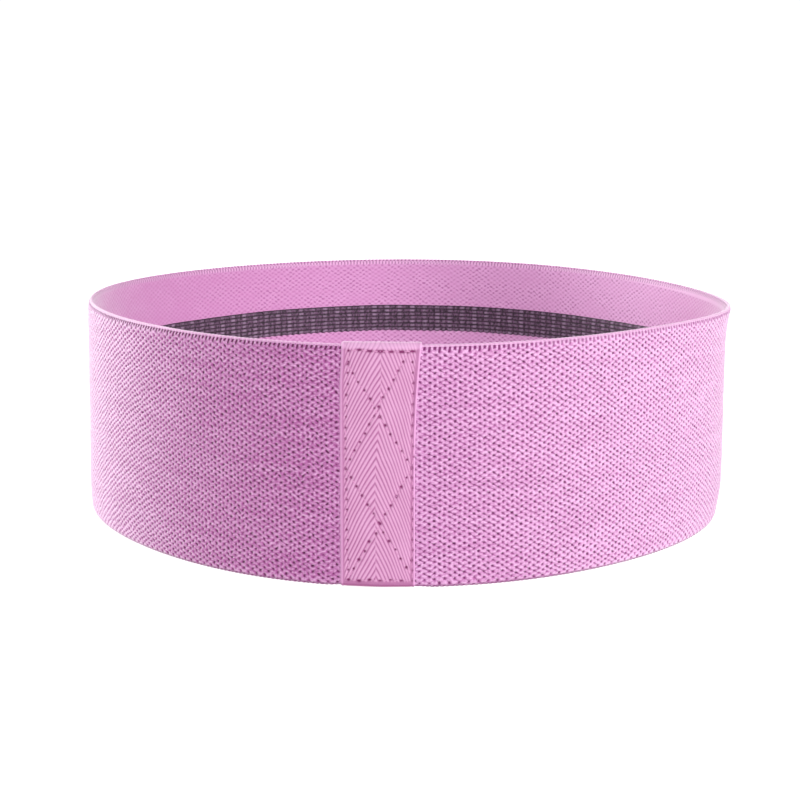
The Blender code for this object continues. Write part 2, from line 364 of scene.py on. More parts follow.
# ---- building materials from nodes ----
class Graph:
    """Adds nodes to one material and returns their outputs."""

    def __init__(self, name):
        self.material = bpy.data.materials.new(name)
        self.material.use_nodes = True
        self.tree = self.material.node_tree
        self.shader = self.tree.nodes["Principled BSDF"]

    def add(self, kind, inputs, **settings):
        node = self.tree.nodes.new(kind)
        for key, value in settings.items():
            setattr(node, key, value)
        for key, value in inputs.items():
            if isinstance(value, bpy.types.NodeSocket):
                self.tree.links.new(value, node.inputs[key])
            else:
                node.inputs[key].default_value = value
        return node

    def math(self, operation, first, second=0.0):
        return self.add("ShaderNodeMath", {0: first, 1: second}, operation=operation).outputs[0]

    def plus(self, *terms):
        total = terms[0]
        for term in terms[1:]:
            total = self.math("ADD", total, term)
        return total

    def times(self, first, second):
        return self.math("MULTIPLY", first, second)

    def ramp(self, value, low, high, to_low=0.0, to_high=1.0):
        """Smooth turn from to_low to to_high as value goes from low to high."""
        inputs = {"Value": value, "From Min": low, "From Max": high, "To Min": to_low, "To Max": to_high}
        node = self.add("ShaderNodeMapRange", inputs, interpolation_type="SMOOTHSTEP")
        return node.outputs["Result"]

    def cloth_place(self):
        """u and v of the cloth, in metres."""
        uv = self.add("ShaderNodeUVMap", {}, uv_map="cloth").outputs["UV"]
        parts = self.add("ShaderNodeSeparateXYZ", {"Vector": uv})
        return parts.outputs["X"], parts.outputs["Y"]

    def noise(self, u, v, cell_u, cell_v, detail=2.0, seed=0.0):
        """Noise from 0 to 1 whose features are about cell_u long and cell_v high."""
        place = {"X": self.times(u, 1.0 / cell_u), "Y": self.times(v, 1.0 / cell_v), "Z": seed}
        vector = self.add("ShaderNodeCombineXYZ", place).outputs["Vector"]
        inputs = {"Vector": vector, "Scale": 1.0, "Detail": detail, "Roughness": 0.55}
        return self.add("ShaderNodeTexNoise", inputs).outputs["Fac"]

    def patchy(self, u, v, cell_u, cell_v, seed=0.0):
        """Noise spread out over the whole of 0 to 1."""
        return self.ramp(self.noise(u, v, cell_u, cell_v, 1.0, seed), 0.30, 0.70)

    def value_of(self, name):
        return self.add("ShaderNodeAttribute", {}, attribute_name=name).outputs["Fac"]

    def mix(self, share, first, second):
        """Colour between first and second; a colour is a triple or a socket."""
        node = self.tree.nodes.new("ShaderNodeMix")
        node.data_type = "RGBA"
        for socket, value in ((node.inputs[0], share), (node.inputs[6], first), (node.inputs[7], second)):
            if isinstance(value, bpy.types.NodeSocket):
                self.tree.links.new(value, socket)
            elif isinstance(value, tuple):
                socket.default_value = (*value, 1.0)
            else:
                socket.default_value = value
        return node.outputs[2]

    def bump(self, height, distance, strength=1.0):
        inputs = {"Height": height, "Distance": distance, "Strength": strength}
        return self.add("ShaderNodeBump", inputs).outputs["Normal"]

    def finish(self, colour, roughness, normal=None, sheen=0.0, sheen_roughness=0.42, specular=0.3):
        """Joins the maps to the shader; what is even all over goes on the shader's own sockets."""
        self.tree.links.new(colour, self.shader.inputs["Base Color"])
        self.tree.links.new(roughness, self.shader.inputs["Roughness"])
        if normal is not None:
            self.tree.links.new(normal, self.shader.inputs["Normal"])
        self.shader.inputs["Sheen Weight"].default_value = sheen
        self.shader.inputs["Sheen Roughness"].default_value = sheen_roughness
        self.shader.inputs["Sheen Tint"].default_value = (1.0, 0.93, 0.98, 1.0)
        self.shader.inputs["Specular IOR Level"].default_value = specular
        return self.material


# ---- colours, linear ----
FLOAT_PINK = (0.450, 0.140, 0.365)
LEFT_FLOAT_SHADE = (0.385, 0.085, 0.300)
PALE_PINK = (0.740, 0.420, 0.680)
SHADED_FURROW_PINK = (0.290, 0.060, 0.215)
SHADED_PIT_PINK = (0.170, 0.008, 0.118)
LEFT_PIT_SHADE = (0.125, 0.003, 0.080)
INNER_PINK = (0.560, 0.215, 0.460)
INNER_SHADE_PINK = (0.360, 0.090, 0.270)
ROLL_PINK = (0.760, 0.430, 0.680)
TAPE_PINK = (0.550, 0.240, 0.430)
TAPE_GROOVE_SHADE = (0.350, 0.100, 0.255)
TAPE_PALE = (0.690, 0.365, 0.590)
BORDER_PINK = (0.700, 0.330, 0.620)
SHADED_HOLE_PINK = (0.190, 0.004, 0.105)
THREAD_PINK = (0.560, 0.210, 0.420)
GRIP_DARK = (0.022, 0.008, 0.020)
GRIP_MID = (0.120, 0.056, 0.112)
GRIP_DASH = (0.320, 0.210, 0.320)
# Painted light and shade along the band, kept in the cloth's colour. The photograph's shading along the
# band, which its lighting may well explain, kept in the cloth's colour.
PAINTED_LIGHT_RIGHT = 0.30             # painted light: lighter right of the tape
PAINTED_SHADE_LEFT = 0.45             # painted shade: darker left of it
PAINTED_SHADE_FAR = 0.50             # painted shade: darker over the far side
PAINTED_LIGHT_SPAN = (0.015, 0.110)    # from the middle of the seam
PAINTED_SHADE_SPAN = (0.170, 0.060)    # before coming round to the seam again
PAINTED_FAR_SHADE_SPAN = (0.190, 0.250)    # from the seam, either way round
LATEX = (0.780, 0.720, 0.600)


def edge_slots(g, u, v):
    """Slots under the rolled top edge, long and short in turn, leaning to the right, filled with painted
    shade.
    """
    deep = g.math("SUBTRACT", CLOTH_TOP, v)
    place = g.plus(u, g.times(deep, TICK_LEAN))
    slot = g.ramp(g.math("COSINE", g.times(place, TAU / COLUMN)), -0.30, 0.35)
    swing = g.times(g.math("COSINE", g.times(place, TAU / 2 / COLUMN)), (TICK_LONG - TICK_SHORT) / 2)
    uneven_length = g.times(g.noise(u, v, 0.0024, 0.01, 1.0, 8.0), 0.0012)
    length = g.plus(swing, uneven_length, (TICK_LONG + TICK_SHORT) / 2 - 0.0006)
    reach = g.math("SUBTRACT", length, deep)
    # The slots' painted shade is weaker right of the tape and stronger left of it.
    weaker = g.ramp(u, *SLOT_WEAKER, 0.0, SLOT_CHANGE)
    span = [LOOP_LENGTH - before for before in SLOT_STRONGER]
    stronger = g.ramp(u, *span, 0.0, SLOT_CHANGE)
    slot = g.times(slot, g.plus(g.math("SUBTRACT", stronger, weaker), 1.0))
    slot = g.times(slot, g.ramp(reach, -0.0001, 0.0003))
    return slot, g.ramp(deep, TICK_LONG - 0.0003, TICK_LONG + 0.0004)


def outer_cloth_material():
    """Plump pink floats round pits, with furrows that link some of the pits along the twill: painted
    highlight on the floats, painted shade in the pits, furrows and slots, and painted light and shade along
    the band.
    """
    g = Graph("outer_cloth")
    u, v = g.cloth_place()
    first = g.math("COSINE", g.plus(g.times(u, TAU / 2 / COLUMN), g.times(v, TAU / ROW)))
    second = g.math("COSINE", g.math("SUBTRACT", g.times(u, TAU / 2 / COLUMN), g.times(v, TAU / ROW)))
    column = g.math("COSINE", g.times(u, TAU / COLUMN))
    weave = g.plus(g.times(first, 0.53), g.times(second, 0.47), g.times(column, PIT_ROUND))
    weave = g.times(weave, 1.0 / (1.0 + PIT_ROUND))
    slots, lattice = edge_slots(g, u, v)
    uneven = g.patchy(u, v, 0.0017, 0.0011, 1.0)
    strength = g.patchy(u, v, 0.0031, 0.0019, 4.0)
    pit = g.ramp(g.plus(weave, g.times(uneven, 0.45), g.times(strength, 0.25)), 0.64, 1.22)
    pit = g.times(pit, g.plus(g.times(strength, 0.5), 0.5))
    links = g.patchy(u, v, 0.0021, 0.0012, 3.0)
    right_share = g.ramp(u, 0.050, 0.170, 1.0, 0.55)
    furrow = g.times(g.times(g.ramp(first, 0.45, 1.0), g.ramp(links, 0.35, 0.75)), right_share)
    across_furrow = g.times(g.ramp(second, 0.55, 1.0), g.ramp(links, 0.55, 0.25, 0.0, 0.6))
    furrow = g.times(g.math("MAXIMUM", furrow, across_furrow), lattice)
    pit = g.math("MAXIMUM", g.times(pit, lattice), slots)
    # Painted contact shadow: a dark line along the bottom edge.
    pit = g.math("MAXIMUM", pit, g.ramp(v, CLOTH_BOTTOM + 0.0004, CLOTH_BOTTOM - 0.0001, 0.0, 0.7))
    fibres = g.patchy(u, v, 0.00130, 0.00020, 5.0)
    tufts = g.patchy(u, v, 0.00110, 0.00065, 6.0)
    patches = g.patchy(u, v, 0.030, 0.0030, 9.0)
    light = g.plus(g.times(tufts, 0.50), g.times(fibres, 0.30), g.times(patches, 0.20), -0.18)
    # Painted light right of the tape, painted shade left of it and over the far side.
    right_painted_light = g.ramp(u, *PAINTED_LIGHT_SPAN, 0.0, PAINTED_LIGHT_RIGHT)
    left_painted_shade = g.ramp(u, *[LOOP_LENGTH - before for before in PAINTED_SHADE_SPAN])
    near, far = PAINTED_FAR_SHADE_SPAN
    back = g.plus(g.ramp(u, near, far), g.ramp(u, LOOP_LENGTH - far, LOOP_LENGTH - near, 0.0, -1.0))
    # Painted highlight on the tops of the floats, then the painted light right of the tape.
    light = g.plus(light, g.times(weave, -0.55), right_painted_light)
    light = g.plus(light, g.times(left_painted_shade, -PAINTED_SHADE_LEFT), g.times(back, -PAINTED_SHADE_FAR))
    # The painted shade left of the tape also turns the floats and the pits to darker colours.
    colour = g.mix(light, g.mix(left_painted_shade, FLOAT_PINK, LEFT_FLOAT_SHADE), PALE_PINK)
    # Painted shade in the furrows, and below it in the pits, the slots and along the bottom edge.
    colour = g.mix(g.times(furrow, 0.70), colour, SHADED_FURROW_PINK)
    pit_colour = g.mix(left_painted_shade, SHADED_PIT_PINK, LEFT_PIT_SHADE)
    colour = g.mix(g.times(pit, 0.97), colour, pit_colour)
    height = g.plus(g.times(fibres, 0.4), g.times(tufts, 0.5), g.times(furrow, -0.8), g.times(pit, -1.2))
    roughness = g.ramp(fibres, 0.0, 1.0, 0.46, 0.60)
    return g.finish(colour, roughness, g.bump(height, 0.00010, 0.9), sheen=1.0, specular=0.35)


def inner_cloth_material():
    """The finer and flatter inner face: soft staggered dots with painted shade in them, stronger in patches,
    and painted shade along the face and in the slots under the rolled edges.
    """
    g = Graph("inner_cloth")
    u, v = g.cloth_place()
    columns = g.math("COSINE", g.times(u, TAU / 2 / INNER_COLUMN))
    rows = g.math("COSINE", g.times(v, TAU / INNER_ROW))
    weave = g.times(columns, rows)
    patches = g.noise(u, v, 0.012, 0.006, 2.0, 3.0)
    uneven = g.noise(u, v, 0.0018, 0.0011, 1.0, 1.0)
    dot = g.ramp(g.plus(weave, g.times(uneven, 3.4)), 1.65, 2.80)
    dot = g.times(dot, g.ramp(patches, 0.30, 0.62, 0.25, 1.0))
    dot = g.times(dot, g.times(g.ramp(u, 0.185, 0.260, 0.2, 1.0), g.ramp(u, 0.440, 0.540, 1.0, 0.3)))
    fibres = g.noise(u, v, 0.0012, 0.00016, 2.0, 5.0)
    light = g.plus(g.times(fibres, 0.7), g.times(patches, 0.5), g.times(uneven, 0.5), g.times(weave, -0.20))
    # Painted shade: the inner face darkened all along, more still past u of 0.46 and below u of 0.21.
    light = g.plus(light, g.ramp(u, 0.28, 0.46, -0.30, -0.60), g.ramp(u, 0.27, 0.21, 0.0, -0.5))
    colour = g.mix(light, INNER_PINK, PALE_PINK)
    # Painted shade in the soft dots.
    colour = g.mix(g.times(dot, 0.75), colour, INNER_SHADE_PINK)
    colour = g.mix(g.times(g.value_of("band"), 0.85), colour, ROLL_PINK)
    # Painted shade: both ends of the inner face turned towards the shaded dot colour.
    ends = g.plus(g.ramp(u, 0.260, 0.200, 0.0, 0.35), g.ramp(u, 0.400, 0.520, 0.0, 0.22))
    colour = g.mix(ends, colour, INNER_SHADE_PINK)
    # Painted shade in the slots under the rolled edges.
    colour = g.mix(g.value_of("tick"), colour, SHADED_PIT_PINK)
    height = g.plus(g.times(fibres, 0.8), g.times(dot, -1.0))
    roughness = g.ramp(fibres, 0.3, 0.7, 0.46, 0.60)
    return g.finish(colour, roughness, g.bump(height, 0.00008, 0.9), sheen=1.0, specular=0.35)


def selvedge_material(name, pale):
    """Yarn wrapped over a closed edge, with a painted highlight on each wrap and painted shade where it dives
    between wraps.
    """
    g = Graph(name)
    u, v = g.cloth_place()
    wrap = g.value_of("wrap")
    fibres = g.noise(u, v, 0.00015, 0.0016, 2.0, 2.0)
    # Painted highlight on the crest of each wrap and painted shade between wraps; the fibres vary on their
    # own.
    light = g.plus(g.times(wrap, 0.8), g.times(fibres, 0.5), -0.25)
    colour = g.mix(light, FLOAT_PINK, pale)
    colour = g.mix(g.ramp(wrap, 0.55, 0.1, 0.0, 0.9), colour, SHADED_PIT_PINK)
    roughness = g.ramp(fibres, 0.3, 0.7, 0.46, 0.60)
    return g.finish(colour, roughness, g.bump(fibres, 0.00006, 0.8), sheen=1.0, specular=0.35)


def grip_material():
    """Dark rubber cords with paler woven dashes along them."""
    g = Graph("grip_rubber")
    u, v = g.cloth_place()
    cord = g.value_of("cord")
    dash = g.value_of("dash")
    grain = g.noise(u, v, 0.0009, 0.0004, 2.0, 4.0)
    patches = g.noise(u, v, 0.015, 0.004, 2.0, 8.0)
    mottle = g.noise(u, v, 0.0009, 0.0014, 1.0, 2.0)
    colour = g.mix(g.times(g.ramp(cord, 0.15, 0.85), g.ramp(mottle, 0.36, 0.62)), GRIP_DARK, GRIP_MID)
    light = g.times(dash, g.plus(g.times(grain, 0.9), g.times(patches, 0.6), 0.02))
    colour = g.mix(light, colour, GRIP_DASH)
    roughness = g.ramp(grain, 0.3, 0.7, 0.50, 0.75)
    return g.finish(colour, roughness, g.bump(grain, 0.00008, 0.7), sheen=0.12, specular=0.35)


def latex_material():
    """Natural latex, a little cloudy, dusted with talc."""
    g = Graph("natural_latex")
    u, v = g.cloth_place()
    cloud = g.noise(u, v, 0.006, 0.002, 3.0, 2.0)
    colour = g.mix(cloud, LATEX, (0.70, 0.60, 0.44))
    roughness = g.ramp(cloud, 0.3, 0.7, 0.45, 0.65)
    return g.finish(colour, roughness, g.bump(cloud, 0.00005, 0.5), specular=0.5)


def tape_material():
    """Herringbone twill: ridges with painted highlight between grooves with painted shade, smooth raised
    borders, needle holes with painted shade, a fold over the top with painted light and a painted contact
    shadow along the foot.
    """
    g = Graph("herringbone_tape")
    u, v = g.cloth_place()
    ridge = g.value_of("ridge")
    border = g.value_of("border")
    hole = g.value_of("hole")
    fibres = g.noise(u, v, 0.00016, 0.0010, 2.0, 6.0)
    patches = g.noise(u, v, 0.006, 0.009, 2.0, 7.0)
    # Painted shade in the twill's grooves and painted highlight on its ridges.
    colour = g.mix(g.ramp(ridge, 0.0, 0.60), TAPE_GROOVE_SHADE, TAPE_PINK)
    light = g.plus(g.times(g.ramp(ridge, 0.4, 1.0), 0.7), g.times(fibres, 0.5), g.times(patches, 0.5), -0.45)
    colour = g.mix(light, colour, TAPE_PALE)
    # Painted light: the fold over the top of the tape turned lighter, towards the roll's colour.
    crown = g.times(g.ramp(v, 0.0790, 0.0802), g.ramp(v, 2 * TAPE_TOP - 0.0790, 2 * TAPE_TOP - 0.0802))
    colour = g.mix(g.times(border, 0.6), colour, BORDER_PINK)
    colour = g.mix(g.times(crown, 0.55), colour, ROLL_PINK)
    # Painted shade in the needle holes and along the tape's foot.
    colour = g.mix(hole, colour, SHADED_HOLE_PINK)
    roughness = g.ramp(fibres, 0.3, 0.7, 0.46, 0.60)
    return g.finish(colour, roughness, g.bump(fibres, 0.00006, 0.8), sheen=1.0, specular=0.35)


def thread_material():
    """Twisted sewing thread: v runs along the thread and u around it."""
    g = Graph("sewing_thread")
    u, v = g.cloth_place()
    twist = g.math("COSINE", g.plus(g.times(u, TAU), g.times(v, TAU / 0.0007)))
    fibres = g.noise(u, v, 0.3, 0.0002, 2.0, 1.0)
    light = g.plus(g.times(twist, 0.25), g.times(fibres, 0.5), 0.05)
    colour = g.mix(light, THREAD_PINK, TAPE_PALE)
    roughness = g.ramp(fibres, 0.3, 0.7, 0.45, 0.65)
    return g.finish(colour, roughness, g.bump(twist, 0.00004, 0.6), sheen=0.2, specular=0.4)


# ---- the cloth of the webbing ----
def warped(u, z, seed):
    """Where a point lies in the weave, after the small unevenness of the yarns."""
    calm = smooth(z, CLOTH_TOP, CLOTH_TOP - 0.003) * smooth(z, CLOTH_BOTTOM, CLOTH_BOTTOM + 0.003)
    loose = 1.0 + 0.7 * u / LOOP_LENGTH
    small_u = 0.00026 * noise(u / 0.0027, z / 0.0018, seed) * loose
    small_v = 0.00024 * noise(u / COLUMN + 0.5, z / 0.0045, seed + 1) * loose
    drift = 0.00060 * noise(u / 0.025, z / 0.025, seed + 2)
    return u + small_u * calm, z + (small_v + drift) * calm


def turned_in(z):
    """How far a face of the webbing turns in towards the rolled edge at this height."""
    deep = np.minimum(CLOTH_TOP - z, z - CLOTH_BOTTOM)
    return ROUNDING * smooth(deep, 0.0013, -0.0002) ** 1.5


def outer_weave(u, v):
    """1 in the middle of a pit between floats, and about -1 on top of a float."""
    lean = LEAN_END + (LEAN_START - LEAN_END) * smooth(u, *LEAN_SPAN)
    first = np.cos(TAU * (u / 2 / COLUMN + v / ROW))
    second = np.cos(TAU * (u / 2 / COLUMN - v / ROW))
    column = np.cos(TAU * u / COLUMN)
    return ((lean * first + second) / (lean + 1) + PIT_ROUND * column) / (1 + PIT_ROUND)


def edge_ticks(u, z):
    """The slots in the cloth just under the rolled top edge, and how much of the weave shows there."""
    deep = CLOTH_TOP - z
    place = u + TICK_LEAN * deep
    length = (TICK_LONG + TICK_SHORT) / 2 + (TICK_LONG - TICK_SHORT) / 2 * np.cos(TAU * place / 2 / COLUMN)
    slot = smooth(np.cos(TAU * place / COLUMN), -0.35, 0.40)
    slot = slot * smooth(deep, length + 0.0002, length - 0.0003)
    return slot, smooth(deep, TICK_LONG - 0.0003, TICK_LONG + 0.0004)


def face_heights(count):
    """Heights up a face of the cloth, evenly spaced."""
    return np.linspace(CLOTH_BOTTOM - TUCKED, CLOTH_TOP + TUCKED, count)


def strip_loops(u, front_z, front_inset, back_z, back_inset):
    """Loops of a strip of cloth: up the outer side and down the inner side."""
    z = np.concatenate([front_z, back_z[::-1]])
    inset = np.concatenate([front_inset, back_inset[:, ::-1]], axis=1)
    return wall(u[:, None], inset, z[None, :]), z


def outer_cloth_rings():
    """The whole outer ply: fine relief outside, a plain back inside."""
    u = stations(0.000412)
    front_z = face_heights(258)
    back_z = face_heights(7)
    grid_u, grid_z = np.meshgrid(u, front_z, indexing="ij")
    cloth_u, cloth_v = warped(grid_u, grid_z, 11)
    weave = outer_weave(cloth_u, cloth_v)
    tick, lattice = edge_ticks(grid_u, grid_z)
    strength = 0.85 + 0.25 * noise(cloth_u / 0.0022, cloth_v / 0.0013, 21)
    pit = smooth(weave, PIT_FROM, PIT_TO) * strength * lattice
    waves = 0.00010 * noise(grid_u / 0.022, grid_z / 0.012, 31)
    relief = np.maximum(PIT_DEPTH * pit, SLOT_DEPTH * tick) + LUMP_HEIGHT * weave * lattice
    relief = relief + waves - PROUD + turned_in(grid_z)
    relief = relief + UNDER_TAPE * smooth(from_seam(grid_u), 0.0121, 0.0112)
    back = np.broadcast_to(PLY + 0.0003 + turned_in(back_z), (len(u), len(back_z)))
    points, z = strip_loops(u, front_z, relief, back_z, back)
    uv = np.stack(np.broadcast_arrays(u[:, None], z[None, :]), axis=-1).copy()
    uv[:, : len(front_z), 0] = cloth_u
    uv[:, : len(front_z), 1] = cloth_v
    return u, points, uv, {}


def inner_cloth_rings():
    """The whole inner ply: a plain back outside and the soft inner relief."""
    u = stations(0.00048)
    back_z = face_heights(7)
    front_z = face_heights(171)
    grid_u, grid_z = np.meshgrid(u, front_z, indexing="ij")
    cloth_u, cloth_v = warped(grid_u, grid_z, 51)
    weave = np.cos(TAU * cloth_u / 2 / INNER_COLUMN) * np.cos(TAU * cloth_v / INNER_ROW)
    relief = INNER_RELIEF * (weave * 0.5 + smooth(weave, 0.3, 1.0))
    deep = np.minimum(CLOTH_TOP - grid_z, grid_z - CLOTH_BOTTOM)
    wider = 0.0016 * bell(turn_from(np.interp(grid_u, PLAN_ALONG, PLAN_ANGLES), CURL_AT), CURL_SPREAD)
    band = smooth(deep, 0.0017 + wider, 0.0011 + wider)
    tick = smooth(np.cos(TAU * (grid_u + TICK_LEAN * deep) / INNER_COLUMN), 0.2, 0.9)
    tick = 0.75 * tick * smooth(deep, 0.0016, 0.0011)
    front = WEB - relief * (1 - band) - turned_in(grid_z) - 0.0001 * tick
    back = np.broadcast_to(WEB - PLY - turned_in(back_z), (len(u), len(back_z)))
    z = np.concatenate([back_z, front_z[::-1]])
    inset = np.concatenate([back, front[:, ::-1]], axis=1)
    points = wall(u[:, None], inset, z[None, :])
    uv = np.stack(np.broadcast_arrays(u[:, None], z[None, :]), axis=-1).copy()
    uv[:, len(back_z):, 0] = cloth_u[:, ::-1]
    uv[:, len(back_z):, 1] = cloth_v[:, ::-1]
    values = {"band": np.zeros(points.shape[:2]), "tick": np.zeros(points.shape[:2])}
    values["band"][:, len(back_z):] = band[:, ::-1]
    values["tick"][:, len(back_z):] = tick[:, ::-1]
    return u, points, uv, values


ZONE_NAMES = ("seam_right", "right_span", "far_right", "far_left", "left_span", "seam_left")
ZONE_NODES = ("seam_right", "right_span", "far_side", "far_side", "left_span", "seam_left")
ZONE_TURN = 60
ZONES = [
    (name, SEAM + math.radians(i * ZONE_TURN), SEAM + math.radians((i + 1) * ZONE_TURN), node)
    for i, (name, node) in enumerate(zip(ZONE_NAMES, ZONE_NODES))
]
CAD_ZONES = ("seam_right", "right_span", "far_side", "left_span", "seam_left")


def stretches(piece):
    """Bakes the piece's transform into its mesh."""
    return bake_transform(piece)


def cloth_pieces(layer, rings, material):
    """One layer of the webbing, cut into the stretches between the zones, which meet edge to edge."""
    u, points, uv, values = rings
    normals = surface_normals(points, False)
    made = []
    for name, start, end, node in ZONES:
        first = 0 if name == "seam_right" else int(np.argmin(np.abs(u - u_at(start))))
        last = len(u) - 1 if name == "seam_left" else int(np.argmin(np.abs(u - u_at(end))))
        part = slice(first, last + 1)
        piece = swept_piece(f"{name}_{layer}_weave", points[part], uv[part], normals[part], material)
        for key, value in values.items():
            add_value(piece, key, value[part])
        stretches(piece)
        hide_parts(f"{node}_{layer}")
        made.append(piece)
    return made


# ---- the rolled edges ----
def selvedge(name, at_top, material):
    """A closed edge: yarn wrapped over the edge of both plies, leaning a little from loop to loop."""
    u = stations(0.00027)
    turns = np.linspace(0.0, math.pi, 14)
    base = CLOTH_TOP - 0.0001 if at_top else CLOTH_BOTTOM + 0.0001
    up = 1.0 if at_top else -1.0
    tall = WEB_TOP - CLOTH_TOP + 0.0001
    half = WEB / 2 - ROUNDING + 0.00012
    inset = np.concatenate([WEB / 2 - half * np.cos(turns), [WEB * 0.6, WEB * 0.4]])
    rise = np.concatenate([tall * np.sin(turns) ** 0.8, [-0.0001, -0.0001]])
    path = np.concatenate([turns * 0.0011, [0.0035, 0.0035]])
    wobble = 0.00012 * noise(u / COLUMN, u * 0, 71)
    phase = u[:, None] + wobble[:, None] + TICK_LEAN * path[None, :] * up
    wrap = (0.5 + 0.5 * np.cos(TAU * phase / COLUMN + math.pi)) ** 0.5
    proud = np.concatenate([np.ones(len(turns)), [0.0, 0.0]])
    lift = 0.00014 * (wrap - 0.6) * proud
    grid_inset = inset[None, :] + lift * (inset - WEB / 2)[None, :] / (WEB / 2)
    grid_z = base + up * (rise[None, :] + lift * np.clip(rise / tall, 0, 1)[None, :])
    if not at_top:
        grid_inset, grid_z, wrap = grid_inset[:, ::-1], grid_z[:, ::-1], wrap[:, ::-1]
        path = path[::-1]
    points = wall(u[:, None], grid_inset, grid_z)
    uv = np.stack(np.broadcast_arrays(u[:, None], path[None, :]), axis=-1)
    piece = swept_piece(name, points, uv, surface_normals(points, False), material)
    if at_top:
        # The painted shade between wraps is weaker on the outer side of the top roll.
        shown = np.concatenate([smooth(turns, math.pi * 0.35, math.pi * 0.60) * 0.62 + 0.38, [1.0, 1.0]])
        wrap = 1 - (1 - wrap) * shown[None, :]
    else:
        # Painted contact shadow: a dark line along the lowest part of the bottom roll.
        under = 0.8 * smooth(turns, 0.0, 0.3) * smooth(turns, math.pi, 2.8)
        under = np.concatenate([under, [0.0, 0.0]])[::-1]
        wrap = wrap * (1 - under)[None, :]
    add_value(piece, "wrap", wrap)
    stretches(piece)
    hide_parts(*[f"{zone}_{name}" for zone in CAD_ZONES])
    return piece


# ---- grip strips ----
def grip_dashes(u, row, row_share):
    """Pale woven dashes: one in every row at each column, and weaker ones between in the lower rows."""
    along = (u / GRIP_DASH_PITCH + 0.5) % 1.0 - 0.5
    between = (u / GRIP_DASH_PITCH) % 1.0 - 0.5
    in_row = smooth(np.abs(row_share), 0.36, 0.16)
    main = smooth(np.abs(along) * GRIP_DASH_PITCH, GRIP_DASH_HALF + 0.0004, GRIP_DASH_HALF - 0.0004)
    minor = smooth(np.abs(between) * GRIP_DASH_PITCH, 0.0009, 0.0002)
    low_rows = smooth(row, 5.5, 1.0)
    uneven = 0.78 + 0.45 * noise(u / 0.0029, row, 91)
    return in_row * np.clip((main + 0.65 * minor * (0.35 + 0.65 * low_rows)) * uneven, 0.0, 1.0)


def grip_strip(name, material):
    """A strip of corded rubber on the inner face, with a scalloped lower edge."""
    low, high = (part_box(f"far_side_{name}")[k].z for k in (0, 1))
    u = stations(0.00050)
    u = u[(u > STRIP_START + 0.0002) & (u < STRIP_END - 2 * LAP_HALF - 0.0006)]
    face = np.linspace(0.0, 1.0, 57)
    grid_u, share = np.meshgrid(u, face, indexing="ij")
    rows = share * GRIP_ROWS
    row = np.floor(np.clip(rows, 0, GRIP_ROWS - 0.001))
    row_share = rows - row - 0.5
    cord = np.cos(math.pi * np.clip(row_share, -0.5, 0.5)) ** 0.7
    dash = grip_dashes(grid_u, row, row_share)
    sag = GRIP_SAG * bell(turn_from(np.interp(grid_u, PLAN_ALONG, PLAN_ANGLES), GRIP_SAG_AT), GRIP_SAG_SPREAD)
    wander = 0.00015 * noise(grid_u / 0.018, share * 2, 95) - sag
    scallop = 0.00018 * np.cos(TAU * grid_u / GRIP_SCALLOP_PITCH) * (1 - share) ** 6
    z = low + (high - low) * share + wander + scallop
    edge = smooth(share, 0.0, 0.02) * smooth(share, 1.0, 0.98)
    cord = cord * smooth(share + 0.02 * np.cos(TAU * grid_u / GRIP_SCALLOP_PITCH), 0.99, 0.93)
    inset = GRIP_INSET + 0.00012 + (GRIP_CORD * cord + 0.00012 * dash + 0.0001) * edge
    back_z = np.stack([z[:, 0], z[:, len(face) // 2], z[:, -1]], axis=1)
    back_inset = np.full(back_z.shape, GRIP_INSET - 0.0001)
    grid_z = np.concatenate([back_z, z[:, ::-1]], axis=1)
    grid_inset = np.concatenate([back_inset, inset[:, ::-1]], axis=1)
    points = wall(u[:, None], grid_inset, grid_z)
    uv = np.stack([np.broadcast_to(u[:, None], grid_z.shape), grid_z], axis=-1)
    piece = swept_piece(f"{name}_loop", points, uv, surface_normals(points, False), material)
    nothing = np.zeros(back_z.shape)
    add_value(piece, "cord", np.concatenate([nothing, cord[:, ::-1]], axis=1))
    add_value(piece, "dash", np.concatenate([nothing, dash[:, ::-1]], axis=1))
    stretches(piece)
    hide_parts(*[f"{zone}_{name}" for zone in CAD_ZONES])
    return piece


# ---- rubber threads inside ----
def rubber_threads(material):
    """The flat-cut rubber threads between the two plies, side by side."""
    count = 10
    tall = 0.0040
    u = stations(0.0030)
    pitch = (CLOTH_TOP - CLOTH_BOTTOM - tall) / (count - 1)
    corner = 0.00015
    middle = CORE_INSET + CORE / 2
    section = [(-1, -1), (-1, 1), (1, 1), (1, -1)]
    meshes = []
    for i in range(count):
        centre = CLOTH_BOTTOM + tall / 2 + i * pitch
        inset, z = [], []
        for side, end in section:
            near = (side * (CORE / 2 - corner), end * tall / 2)
            wide = (side * CORE / 2, end * (tall / 2 - corner))
            pair = (wide, near) if side * end < 0 else (near, wide)
            for a, b in pair:
                inset.append(middle + a)
                z.append(centre + b)
        meshes.append(wall(u[:, None], np.array(inset)[None, :], np.array(z)[None, :]))
    return joined_loops("rubber_threads", meshes, material)


def joined_loops(name, bars, material, uvs=None):
    """Several closed bars in one object."""
    points, faces, caps, uv = [], [], [], []
    start = 0
    for index, bar in enumerate(bars):
        count, loop = bar.shape[:2]
        points.append(bar.reshape(-1, 3))
        faces.append(quads(count, loop, False) + start)
        caps.append(start + np.arange(loop))
        caps.append(start + (count - 1) * loop + np.arange(loop)[::-1])
        if uvs is None:
            along = np.broadcast_to(np.arange(count)[:, None] * 0.003, (count, loop))
            around = np.broadcast_to(np.arange(loop)[None, :] * 0.0005 + index * 0.01, (count, loop))
            uv.append(np.stack([along, around], axis=-1).reshape(-1, 2))
        else:
            uv.append(uvs[index].reshape(-1, 2))
        start += count * loop
    points, faces, uv = (np.concatenate(parts) for parts in (points, faces, uv))
    return mesh_object(name, points, faces, caps, uv, None, material)


